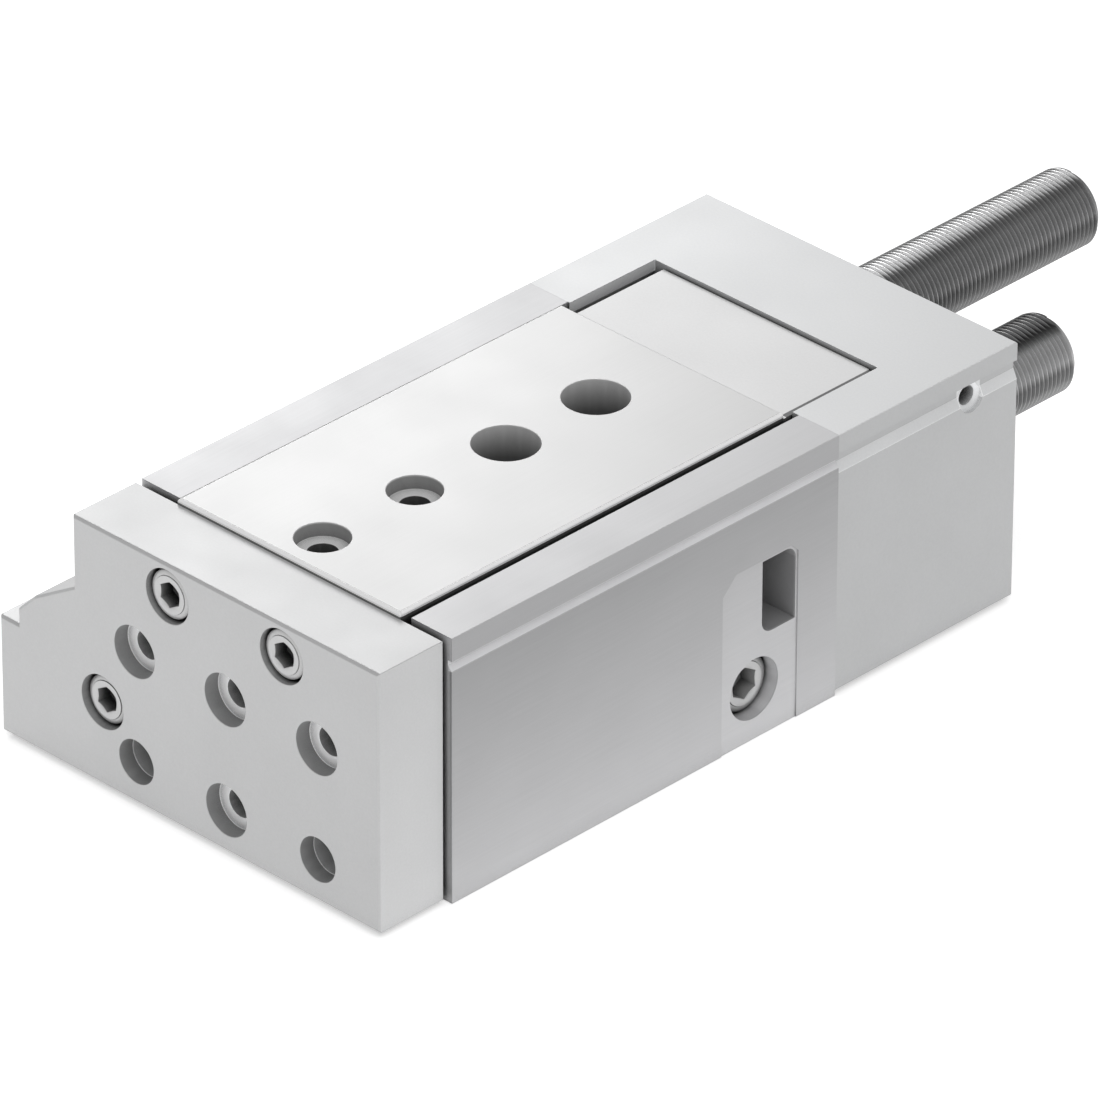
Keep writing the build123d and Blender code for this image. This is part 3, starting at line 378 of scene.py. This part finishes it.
def sink_hexagon(mesh, height, key, depth):
    """Closes the round rim at this height with a hexagon socket and the cone that the drill leaves."""
    lead_in_slope, tip_depth = 0.5, key * 0.25
    rim = [
        e for e in mesh.edges
        if e.is_boundary and all(abs(v.co.z - height) < same_point for v in e.verts)
    ]
    rim_radius = max(v.co.xy.length for e in rim for v in e.verts)
    mouth, mouth_edges = grow(mesh, rim)
    for v in mouth:
        turned_by = math.atan2(v.co.y, v.co.x) % (math.tau / 6) - math.tau / 12
        reach = key / 2 / math.cos(turned_by)
        v.co.xy = v.co.xy.normalized() * reach
        v.co.z = height - (rim_radius - reach) * lead_in_slope
    foot, foot_edges = grow(mesh, mouth_edges)
    for v in foot:
        v.co.z = height - depth
    tip, _ = grow(mesh, foot_edges)
    for v in tip:
        v.co = (0.0, 0.0, height - depth - tip_depth)
    bmesh.ops.remove_doubles(mesh, verts=tip, dist=same_point)


def wind_thread(mesh, start, end, root, crest, pitch, corners):
    """Thread ridge round the Z axis, sunk a little into the core so that the two read as one."""
    half_root, half_crest = pitch * 0.44, pitch * 0.08
    turns = int((end - start - 2 * half_root) / pitch)
    lead = (end - start - 2 * half_root) / turns
    profile = [(root, -half_root), (crest, -half_crest), (crest, half_crest), (root, half_root)]
    one_turn = bmesh.new()
    points = [one_turn.verts.new((radius, 0.0, start + half_root + height)) for radius, height in profile]
    edges = [one_turn.edges.new(pair) for pair in zip(points, points[1:] + points[:1])]
    bmesh.ops.spin(
        one_turn, geom=points + edges, cent=(0, 0, 0), axis=(0, 0, 1),
        dvec=(0, 0, lead / corners), angle=math.tau, steps=corners,
    )
    coil = bpy.data.meshes.new("coil")
    for _ in range(turns):
        one_turn.to_mesh(coil)
        mesh.from_mesh(coil)
        bmesh.ops.translate(one_turn, verts=one_turn.verts, vec=(0, 0, lead))
    one_turn.free()
    bpy.data.meshes.remove(coil)
    bmesh.ops.remove_doubles(mesh, verts=mesh.verts, dist=2 * same_point)
    bmesh.ops.holes_fill(mesh, edges=[e for e in mesh.edges if e.is_boundary], sides=4)


def pointed_along(way):
    """Turns the Z axis, which screws and tubes are made along, to this way."""
    return Vector(way).to_track_quat("Z", "X").to_matrix().to_4x4()


def as_piece(name, mesh, finish, body, node):
    """Turns a finished bmesh into a piece that rides on a body and stands for a CAD node."""
    bmesh.ops.recalc_face_normals(mesh, faces=mesh.faces)
    data = bpy.data.meshes.new(name)
    mesh.to_mesh(data)
    mesh.free()
    data.shade_smooth()
    data.set_sharp_from_angle(angle=math.radians(28.0))
    data.materials.append(finish)
    piece = bpy.data.objects.new(name, data)
    bpy.context.scene.collection.objects.link(piece)
    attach(piece, body)
    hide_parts(node)


def cap_screw(head, height, key, core, pitch, length):
    """Cap screw with its seat at the origin and its head along +Z; head and core are radii."""
    corners, thread_corners = 96, 24
    rim, face, ring, ring_end = key * 0.61, head * 0.76, head * 0.78, head * 0.83
    ring_depth = 0.14 * mm
    top_break, foot_break, seat_break = 0.4 * mm, 0.2 * mm, 0.3 * mm
    knurl_depth = 0.12 * mm
    neck, tip = 0.6 * mm, 0.5 * mm
    thread_end, thread_sink, crest_gap = -0.8 * mm, 0.03 * mm, 0.02 * mm
    root = core - pitch * 0.6
    mesh = bmesh.new()
    turn(mesh, [
        (rim, height), (face, height), (ring, height - ring_depth), (ring_end, height - ring_depth),
        (head - knurl_depth, height - top_break), (head, height - top_break - knurl_depth),
        (head, 2 * foot_break), (head - knurl_depth, foot_break), (head - seat_break, 0.0), (core, 0.0),
        (root, -neck), (root, tip - length), (root - tip, -length), (0.0, -length),
    ], corners)
    for v in mesh.verts:
        corner = round(math.atan2(v.co.y, v.co.x) / math.tau * corners)
        if v.co.xy.length > head - knurl_depth / 2 and corner % 2:
            v.co.xy *= (head - knurl_depth) / head
    sink_hexagon(mesh, height, key, depth=height * 0.55)
    bmesh.ops.remove_doubles(mesh, verts=mesh.verts, dist=same_point)
    wind_thread(mesh, tip - length, thread_end, root - thread_sink, core - crest_gap, pitch, thread_corners)
    return mesh


def screws(name, size, way, centres, body, node):
    """A node's screws as one piece: way is where the heads point, centres lie across it in metres."""
    low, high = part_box(node)
    axis = [abs(part) for part in way].index(1)
    length = high[axis] - low[axis] - size["height"]
    seat_level = high[axis] - size["height"] if way[axis] > 0 else low[axis] + size["height"]
    whole = bmesh.new()
    for centre in centres:
        seat = list(centre)
        seat.insert(axis, seat_level)
        one = cap_screw(**size, length=length)
        one.transform(Matrix.Translation(seat) @ pointed_along(way))
        loose = bpy.data.meshes.new("one_screw")
        one.to_mesh(loose)
        one.free()
        whole.from_mesh(loose)
        bpy.data.meshes.remove(loose)
    as_piece(name, whole, bright_screw, body, node)


m5 = {"head": 4.25 * mm, "height": 5.0 * mm, "key": 4.0 * mm, "core": 2.45 * mm, "pitch": 0.8 * mm}
seam_centres = [(x * mm, z * mm) for x, z in ((29.5, 8.0), (29.5, 27.0), (-44.5, 6.5), (-30.5, 30.0))]
screws("seam_screws", m5, (0, 1, 0), seam_centres, "base", "rear_block_screws")
ground_steel = metal_finish(
    "ground_steel", colour=(0.36, 0.36, 0.37), metallic=0.9, roughness=0.3,
    lines=(4000.0, 50.0, 4000.0), depth=1.0e-6,
)
dress("locating_pins", ground_steel)
seal_rubber = metal_finish(
    "seal_rubber", colour=(0.018, 0.018, 0.018), metallic=0.0, roughness=0.6,
    lines=(1500.0, 1500.0, 1500.0), depth=3.0e-6,
)
dress("passage_seals", seal_rubber)
plug_brass = metal_finish(
    "plug_brass", colour=(0.55, 0.38, 0.14), metallic=1.0, roughness=0.32,
    lines=(3000.0, 3000.0, 3000.0), depth=1.0e-6,
)
dress("passage_plug", plug_brass)

# Cylinder
# A turned gland with its seals at the front, a cap at the rear, and the chromed rod with its piston.
turned_aluminium = metal_finish(
    "turned_aluminium", colour=(0.58, 0.58, 0.59), metallic=0.9, roughness=0.34,
    lines=(60.0, 5000.0, 60.0), depth=1.5e-6,
)
spring_steel = metal_finish(
    "spring_steel", colour=(0.06, 0.06, 0.065), metallic=0.7, roughness=0.4,
    lines=(2500.0, 2500.0, 2500.0), depth=1.5e-6,
)
hard_chrome = metal_finish(
    "hard_chrome", colour=(0.62, 0.62, 0.63), metallic=1.0, roughness=0.12,
    lines=(60.0, 6000.0, 60.0), depth=0.3e-6, mottle=0.02,
)
magnet_compound = metal_finish(
    "magnet_compound", colour=(0.05, 0.045, 0.045), metallic=0.2, roughness=0.6,
    lines=(2500.0, 2500.0, 2500.0), depth=3.0e-6,
)
for node in ("rod_gland", "cylinder_cap", "piston"):
    dress(node, turned_aluminium)
for node in ("rod_seal", "rod_wiper", "gland_ring_seal", "cap_ring_seal", "piston_seals"):
    dress(node, seal_rubber)
dress("retaining_ring", spring_steel)
dress("piston_rod", hard_chrome)
dress("piston_magnet", magnet_compound)
m4 = {"head": 3.5 * mm, "height": 4.0 * mm, "key": 3.0 * mm, "core": 1.95 * mm, "pitch": 0.7 * mm}
piston_thread = {"core": 1.65 * mm, "pitch": 0.6 * mm}
rod_centre = (-27.4 * mm, 16.0 * mm)
screws("piston_cap_screw", m4 | piston_thread, (0, 1, 0), [rod_centre], "slide", "piston_screw")

# Ball guides
# Hardened rails in the body's side pockets, polished balls between them and the slide, and the
# moulded cages that space the balls.
moulded_cage = metal_finish(
    "moulded_cage", colour=(0.62, 0.58, 0.48), metallic=0.0, roughness=0.5,
    lines=(1200.0, 1200.0, 1200.0), depth=3.0e-6,
)
ground_edge = 0.15 * mm
for side in ("left", "right"):
    dress(f"{side}_guide_rail", ground_steel, ground_edge)
    dress(f"{side}_balls", hard_chrome)
    dress(f"{side}_ball_cage", moulded_cage)
dress("cage_stop_pins", ground_steel)

# Slide table
# A hardened steel bar, ground white and flat on its top, so fine straight lines run along it.
white_steel = metal_finish(
    "white_steel", colour=(0.57, 0.57, 0.57), metallic=0.0, roughness=0.32,
    lines=(3500.0, 30.0, 3500.0), depth=0.8e-6, mottle=0.03,
)
front_edge = ((-25.0, -57.6, 47.6), (25.0, -57.05, 48.28))
front_foot = ((-25.0, -57.6, 45.0), (25.0, -57.3, 47.6))
right_edge = ((23.85, -57.0, 47.5), (24.4, 30.0, 48.28))
right_foot = ((24.2, -57.3, 45.0), (24.4, 30.0, 47.5))
access_holes = ((-5.6, -16.0, 34.0), (5.6, 17.0, 48.1))
recess_walls = ((-4.8, -56.0, 45.85), (4.8, -24.0, 48.1))
recess_floors = ((-4.8, -56.0, 45.75), (4.8, -24.0, 45.85))
tapped_holes = ((-2.8, -56.0, 34.0), (2.8, -24.0, 45.7))
above_body = ((-25.0, -57.6, 47.0), (24.4, 30.0, 48.4))
# Painted light and shade on the slide, set for one view and one light: the top of its front and right faces
# is painted as light as the top, their foot gets painted shade where they meet the yoke and the body, the
# access holes, recess walls and tapped holes get painted shade, darker deeper down, and the recess floors are
# painted lighter.
paint_light_and_shade(white_steel, front_edge, 2.0)
paint_light_and_shade(white_steel, front_foot, 0.35)
paint_light_and_shade(white_steel, right_edge, 2.2)
paint_light_and_shade(white_steel, right_foot, 0.17)
paint_light_and_shade(white_steel, access_holes, 0.25, 1.0, foot=42.5, top=48.3)
paint_light_and_shade(white_steel, recess_walls, 0.45, 0.6, foot=45.8, top=48.1)
paint_light_and_shade(white_steel, recess_floors, 1.5)
paint_light_and_shade(white_steel, tapped_holes, 0.2)
# Painted shade in gaps and holes, except on the slide's parts above the body.
paint_crevice_shade(white_steel, spared=zone(white_steel, *above_body))
dress("slide_table", white_steel, ground_edge)

# Stops
# A hardened lug under the slide and a hardened button in the body take the absorbers' plungers.
dress("stop_lug", ground_steel, 0.2 * mm)
lug_low, lug_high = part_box("stop_lug_screw")
lug_centre = (14.7 * mm, (lug_low.y + lug_high.y) / 2)
screws("lug_cap_screw", m4, (0, 0, -1), [lug_centre], "slide", "stop_lug_screw")
dress("stop_button", ground_steel)

# Absorber carrier
# A satin anodised aluminium tail, screwed to the slide's rear end; its lug grips the long absorber.
satin_carrier = metal_finish(
    "satin_carrier", colour=(0.65, 0.65, 0.652), metallic=0.2, roughness=0.5, lines=fine_blast, depth=1.5e-6,
)
# A painted shadow line along the tail's right edge, under the rear block's lip.
lip_shadow_on_tail = ((23.0, 28.0, 46.9), (24.1, 49.0, 47.1))
paint_light_and_shade(satin_carrier, lip_shadow_on_tail, 0.12)
# Painted shade in gaps and holes.
paint_crevice_shade(satin_carrier)
dress("absorber_carrier", satin_carrier, milled_edge)
tail_centres = [(x * mm, 41.0 * mm) for x in (-12.0, 12.0)]
screws("tail_screws", m5, (0, 1, 0), tail_centres, "slide", "carrier_screws")
dark_screw = metal_finish(
    "dark_screw", colour=(0.04, 0.04, 0.045), metallic=0.7, roughness=0.38,
    lines=(2500.0, 2500.0, 2500.0), depth=1.5e-6,
)
dress("absorber_set_screw", dark_screw)

# Yoke plate
# Milled from aluminium plate, blasted and anodised. Two screws hold it to the slide and one, lower
# down on the left, to the piston rod.
blasted_yoke = metal_finish(
    "blasted_yoke", colour=(0.58, 0.582, 0.585), metallic=0.25, roughness=0.5, lines=fine_blast, depth=2.0e-6,
)
yoke_recess_floors = ((-25.0, -68.35, 3.0), (25.0, -68.15, 35.0))
yoke_recess_walls = ((-33.0, -71.15, 2.0), (29.0, -68.35, 46.5))
yoke_right_end = ((33.4, -72.0, 0.0), (34.0, -57.0, 48.0))
# Painted light and shade on the yoke, set for one view and one light: the recess floors are painted lighter,
# the recess and counterbore walls darker, and the right end face lighter, most towards the foot.
paint_light_and_shade(blasted_yoke, yoke_recess_floors, 2.0)
paint_light_and_shade(blasted_yoke, yoke_recess_walls, 0.55)
paint_light_and_shade(blasted_yoke, yoke_right_end, 1.16, 1.03)
# Painted shade in gaps and holes.
paint_crevice_shade(blasted_yoke)
dress("yoke_plate", blasted_yoke, milled_edge)
yoke_centres = [(x * mm, 41.5 * mm) for x in (-12.5, 12.5)]
screws("front_screws", m5, (0, -1, 0), yoke_centres, "slide", "yoke_screws")
screws("rod_end_screw", m5, (0, -1, 0), [rod_centre], "slide", "rod_screw")

# Clamp screw
# The socket head screw in the pad draws the slit together round the short absorber.
m6 = {"head": 5.0 * mm, "height": 6.0 * mm, "key": 5.0 * mm, "core": 2.95 * mm, "pitch": 1.0 * mm}
clamp_low, clamp_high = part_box("clamp_screw")
clamp_centre = ((clamp_low.y + clamp_high.y) / 2, (clamp_low.z + clamp_high.z) / 2)
screws("side_cap_screw", m6, (1, 0, 0), [clamp_centre], "base", "clamp_screw")

# Shock absorbers
# Steel tubes with a fine thread over their whole length, dark plated, each with a polished plunger.
# The colour is painted with light and shade by height: a painted highlight along the top of the long one, and
# painted shade, darker in the lower half, on both.
plated_thread = metal_finish(
    "plated_thread", colour=(0.92, 0.92, 0.925), metallic=0.7, roughness=0.42,
    lines=(3000.0, 3000.0, 3000.0), depth=1.5e-6,
)


def paint_height_shading(finish, stops):
    """Multiplies the colour by a grey that follows the height, as painted light and shade; each stop is
    (millimetres, grey).
    """
    low, high = stops[0][0], stops[-1][0]
    tree = finish.node_tree
    greys = tree.nodes.new("ShaderNodeValToRGB")
    for _ in stops[2:]:
        greys.color_ramp.elements.new(0.5)
    for element, (height, grey) in zip(greys.color_ramp.elements, stops):
        element.position = (height - low) / (high - low)
        element.color = (grey, grey, grey, 1.0)
    tree.links.new(height_share(finish, low, high), greys.inputs["Fac"])
    multiply_colour(finish, greys.outputs["Color"])


# Painted shade in bands by height, darker in the lower half, and a painted highlight along the top that
# stands for a reflection.
paint_height_shading(plated_thread, (
    (19.0, 0.245), (23.2, 0.245), (24.4, 0.18), (26.3, 0.18), (27.6, 0.36), (31.1, 0.36),
    (31.9, 0.25), (32.35, 0.27), (32.75, 1.0), (33.0, 1.0),
))
# On the short tube the top's painted highlight is painted over with shade, and its middle is painted lighter.
short_absorber = ((0.0, -12.0, 18.0), (23.0, 138.0, 34.0))
paint_light_and_shade(plated_thread, short_absorber, 1.6, 0.26, foot=31.4, top=32.3)


def absorber(name, node, body):
    """Threaded tube with a chamfered hexagon end at the rear and the plunger's bore in its nose."""
    low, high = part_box(node)
    radius, length = (high.x - low.x) / 2, high.y - low.y
    key, key_depth = 5.0 * mm, 3.0 * mm
    bore, bore_depth, bore_break = 2.04 * mm, 23.0 * mm, 0.25 * mm
    pitch, end_taper, thread_sink = 1.0 * mm, 0.35 * mm, 0.04 * mm
    chamfer = 0.8 * mm
    end_radius = radius - chamfer - 0.1 * mm
    root = radius - 0.62 * pitch
    core_corners, thread_corners = 96, 64
    mesh = bmesh.new()
    turn(mesh, [
        (0.0, bore_depth), (bore, bore_depth), (bore, bore_break), (bore + bore_break, 0.0),
        (end_radius, 0.0), (root, end_taper), (root, length - end_taper), (end_radius, length),
        (key * 0.62, length),
    ], core_corners)
    sink_hexagon(mesh, length, key, key_depth)
    bmesh.ops.remove_doubles(mesh, verts=mesh.verts, dist=same_point)
    wind_thread(mesh, 0.0, length, root - thread_sink, radius, pitch, thread_corners)
    for v in mesh.verts:
        limit = radius - chamfer + min(v.co.z, length - v.co.z)
        if v.co.xy.length > max(limit, root / 2):
            v.co.xy *= limit / v.co.xy.length
    nose = Matrix.Translation(((low.x + high.x) / 2, low.y, (low.z + high.z) / 2))
    mesh.transform(nose @ pointed_along((0, 1, 0)))
    as_piece(name, mesh, plated_thread, body, node)


absorber("advance_tube", "advance_absorber", "slide")
absorber("retract_tube", "retract_absorber", "base")
dress("advance_plunger", hard_chrome)
dress("retract_plunger", hard_chrome)
